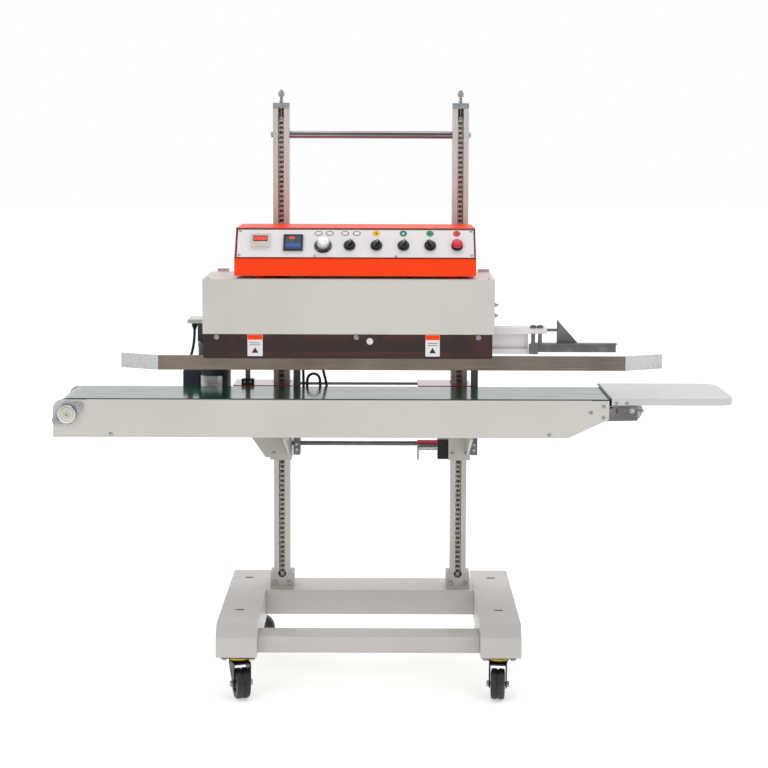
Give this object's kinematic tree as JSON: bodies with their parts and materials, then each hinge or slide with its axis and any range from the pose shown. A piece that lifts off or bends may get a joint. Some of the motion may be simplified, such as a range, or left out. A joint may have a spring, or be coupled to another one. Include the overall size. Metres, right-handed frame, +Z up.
{
  "type": "continuous band sealer",
  "caption": "Floor-standing vertical band sealer: sealing head and belt conveyor that slide up and down a twin-column mast on a wheeled base.",
  "frame": {"origin": "on the floor, under the middle of the whole machine's box", "axes": "+X along the conveyor towards the extension table, +Y to the back of the machine, +Z up"},
  "size_m": [1.673, 0.5716, 1.498],
  "materials": {
    "frame_paint": "satin powder coat",
    "mast_steel": "satin",
    "cast_grey": "fine texture",
    "zinc": "zinc plated",
    "chain_steel": "oiled",
    "chrome": "polished",
    "black_steel": "black",
    "cover_paint": "satin powder coat",
    "tinted_acrylic": "tinted clear",
    "orange_paint": "satin",
    "panel_white": "satin",
    "panel_plastic": "satin",
    "black_plastic": "satin",
    "red_plastic": "gloss",
    "seal_band": "woven",
    "brass_block": "machined",
    "motor_paint": "satin",
    "bright_aluminium": "satin",
    "dark_steel": "satin",
    "cable_rubber": "matte",
    "green_belt": "gloss",
    "table_paint": "satin",
    "stainless": "brushed",
    "roller_rubber": "matte",
    "wheel_rubber": "matte"
  },
  "bodies": {
    "base": {"side_beams": "frame_paint", "cross_beams": "frame_paint", "columns": "mast_steel", "column_ends": "cast_grey", "column_screws": "zinc", "lift_chains": "chain_steel", "tie_rod": "chrome", "caster_plates": "black_steel"},
    "head": {"head_cover": "cover_paint", "head_plate": "mast_steel", "head_guides": "cast_grey", "guard": "tinted_acrylic", "head_screws": "zinc", "control_box": "orange_paint", "control_panel": "panel_white", "counter": "panel_plastic", "temperature_controller": "black_plastic", "switch_bezels": "black_plastic", "sealing_bands": "seal_band", "sealing_blocks": "brass_block", "drive_motor": "motor_paint", "infeed_rails": "bright_aluminium", "infeed_bracket": "dark_steel", "lead_glands": "black_plastic", "slack_lead": "cable_rubber", "motor_lead": "cable_rubber"},
    "conveyor": {"conveyor_panels": "cover_paint", "conveyor_bed": "mast_steel", "conveyor_belt": "green_belt", "flange_bearings": "cast_grey", "tension_brackets": "dark_steel", "extension_table": "table_paint", "conveyor_screws": "zinc", "carriages": "cast_grey", "carriage_plates": "orange_paint", "rail": "stainless", "rail_posts": "mast_steel", "lift_gearbox": "dark_steel"},
    "fork_front_left": {"caster_fork_front_left": "black_steel"},
    "wheel_front_left": {"caster_wheel_front_left": "wheel_rubber"},
    "fork_front_right": {"caster_fork_front_right": "black_steel"},
    "wheel_front_right": {"caster_wheel_front_right": "wheel_rubber"},
    "fork_rear_left": {"caster_fork_rear_left": "black_steel"},
    "wheel_rear_left": {"caster_wheel_rear_left": "wheel_rubber"},
    "fork_rear_right": {"caster_fork_rear_right": "black_steel"},
    "wheel_rear_right": {"caster_wheel_rear_right": "wheel_rubber"},
    "head_lift_shaft_body": {"head_lift_shaft": "dark_steel"},
    "conveyor_lift_shaft_body": {"conveyor_lift_shaft": "dark_steel"},
    "drive_roller_body": {"drive_roller": "roller_rubber"},
    "tail_roller_body": {"tail_roller": "mast_steel"},
    "drive_wheel_front_body": {"drive_wheel_front": "bright_aluminium"},
    "drive_wheel_rear_body": {"drive_wheel_rear": "bright_aluminium"},
    "idler_wheel_front_body": {"idler_wheel_front": "bright_aluminium"},
    "idler_wheel_rear_body": {"idler_wheel_rear": "bright_aluminium"},
    "speed_dial_body": {"speed_dial": "bright_aluminium"},
    "stop_button_body": {"stop_button": "red_plastic"},
    "selector_knob_1_body": {"selector_knob_1": "black_plastic"},
    "selector_knob_2_body": {"selector_knob_2": "black_plastic"},
    "selector_knob_3_body": {"selector_knob_3": "black_plastic"},
    "selector_knob_4_body": {"selector_knob_4": "black_plastic"}
  },
  "joints": [
    {"name": "head_lift", "type": "slide", "parent": "base", "child": "head", "axis": [0, 0, 1], "range_m": [0, 0.3]},
    {"name": "conveyor_lift", "type": "slide", "parent": "base", "child": "conveyor", "axis": [0, 0, 1], "range_m": [-0.3, 0]},
    {"name": "head_lift_shaft_turn", "type": "hinge", "parent": "head", "child": "head_lift_shaft_body", "pos_m": [-0.06, 0.0755, 0.962], "axis": [1, 0, 0], "range_deg": [-702.08, 0]},
    {"name": "conveyor_lift_shaft_turn", "type": "hinge", "parent": "conveyor", "child": "conveyor_lift_shaft_body", "pos_m": [-0.06, 0.0755, 0.577], "axis": [1, 0, 0], "range_deg": [0, 702.08]},
    {"name": "drive_roller_turn", "type": "hinge", "parent": "conveyor", "child": "drive_roller_body", "pos_m": [-0.799, -0.085, 0.699], "axis": [0, 1, 0], "continuous": true},
    {"name": "tail_roller_turn", "type": "hinge", "parent": "conveyor", "child": "tail_roller_body", "pos_m": [0.584, -0.085, 0.709], "axis": [0, 1, 0], "continuous": true},
    {"name": "drive_wheel_front_turn", "type": "hinge", "parent": "head", "child": "drive_wheel_front_body", "pos_m": [-0.39, -0.1317, 0.856], "axis": [0, 0, 1], "continuous": true},
    {"name": "drive_wheel_rear_turn", "type": "hinge", "parent": "head", "child": "drive_wheel_rear_body", "pos_m": [-0.39, -0.0683, 0.856], "axis": [0, 0, 1], "continuous": true},
    {"name": "idler_wheel_front_turn", "type": "hinge", "parent": "head", "child": "idler_wheel_front_body", "pos_m": [0.17, -0.1317, 0.856], "axis": [0, 0, 1], "continuous": true},
    {"name": "idler_wheel_rear_turn", "type": "hinge", "parent": "head", "child": "idler_wheel_rear_body", "pos_m": [0.17, -0.0683, 0.856], "axis": [0, 0, 1], "continuous": true},
    {"name": "speed_dial_turn", "type": "hinge", "parent": "head", "child": "speed_dial_body", "pos_m": [-0.1747, -0.16812, 1.11427], "axis": [0, -0.7771, 0.6293], "range_deg": [-135, 135]},
    {"name": "selector_1_turn", "type": "hinge", "parent": "head", "child": "selector_knob_1_body", "pos_m": [-0.1099, -0.16812, 1.11427], "axis": [0, -0.7771, 0.6293], "range_deg": [0, 90]},
    {"name": "selector_2_turn", "type": "hinge", "parent": "head", "child": "selector_knob_2_body", "pos_m": [-0.0442, -0.16812, 1.11427], "axis": [0, -0.7771, 0.6293], "range_deg": [0, 90]},
    {"name": "selector_3_turn", "type": "hinge", "parent": "head", "child": "selector_knob_3_body", "pos_m": [0.0222, -0.16812, 1.11427], "axis": [0, -0.7771, 0.6293], "range_deg": [0, 90]},
    {"name": "selector_4_turn", "type": "hinge", "parent": "head", "child": "selector_knob_4_body", "pos_m": [0.0878, -0.16812, 1.11427], "axis": [0, -0.7771, 0.6293], "range_deg": [-90, 0]},
    {"name": "stop_button_press", "type": "slide", "parent": "head", "child": "stop_button_body", "axis": [0, 0.7771, -0.6293], "range_m": [0, 0.004], "stiffness_N_per_m": 400, "springref_m": -0.003},
    {"name": "swivel_front_left", "type": "hinge", "parent": "base", "child": "fork_front_left", "pos_m": [-0.38, -0.224, 0.095], "axis": [0, 0, 1], "continuous": true},
    {"name": "wheel_front_left_turn", "type": "hinge", "parent": "fork_front_left", "child": "wheel_front_left", "pos_m": [-0.3732, -0.24492, 0.0375], "axis": [0.9511, 0.309, 0], "continuous": true},
    {"name": "swivel_front_right", "type": "hinge", "parent": "base", "child": "fork_front_right", "pos_m": [0.26, -0.224, 0.095], "axis": [0, 0, 1], "continuous": true},
    {"name": "wheel_front_right_turn", "type": "hinge", "parent": "fork_front_right", "child": "wheel_front_right", "pos_m": [0.2577, -0.24588, 0.0375], "axis": [0.9945, -0.1045, 0], "continuous": true},
    {"name": "swivel_rear_left", "type": "hinge", "parent": "base", "child": "fork_rear_left", "pos_m": [-0.38, 0.224, 0.095], "axis": [0, 0, 1], "continuous": true},
    {"name": "wheel_rear_left_turn", "type": "hinge", "parent": "fork_rear_left", "child": "wheel_rear_left", "pos_m": [-0.358, 0.224, 0.0375], "axis": [0, -1, 0], "continuous": true},
    {"name": "swivel_rear_right", "type": "hinge", "parent": "base", "child": "fork_rear_right", "pos_m": [0.26, 0.224, 0.095], "axis": [0, 0, 1], "continuous": true},
    {"name": "wheel_rear_right_turn", "type": "hinge", "parent": "fork_rear_right", "child": "wheel_rear_right", "pos_m": [0.2532, 0.24492, 0.0375], "axis": [0.9511, 0.309, 0], "continuous": true}
  ],
  "couplings": [
    {"joint": "head_lift_shaft_turn", "follows": "head_lift", "rad_per_m": -40.816},
    {"joint": "conveyor_lift_shaft_turn", "follows": "conveyor_lift", "rad_per_m": -40.816},
    {"joint": "tail_roller_turn", "follows": "drive_roller_turn", "ratio": 1.3953},
    {"joint": "drive_wheel_rear_turn", "follows": "drive_wheel_front_turn", "ratio": -1},
    {"joint": "idler_wheel_front_turn", "follows": "drive_wheel_front_turn", "ratio": 1},
    {"joint": "idler_wheel_rear_turn", "follows": "drive_wheel_front_turn", "ratio": -1}
  ]
}
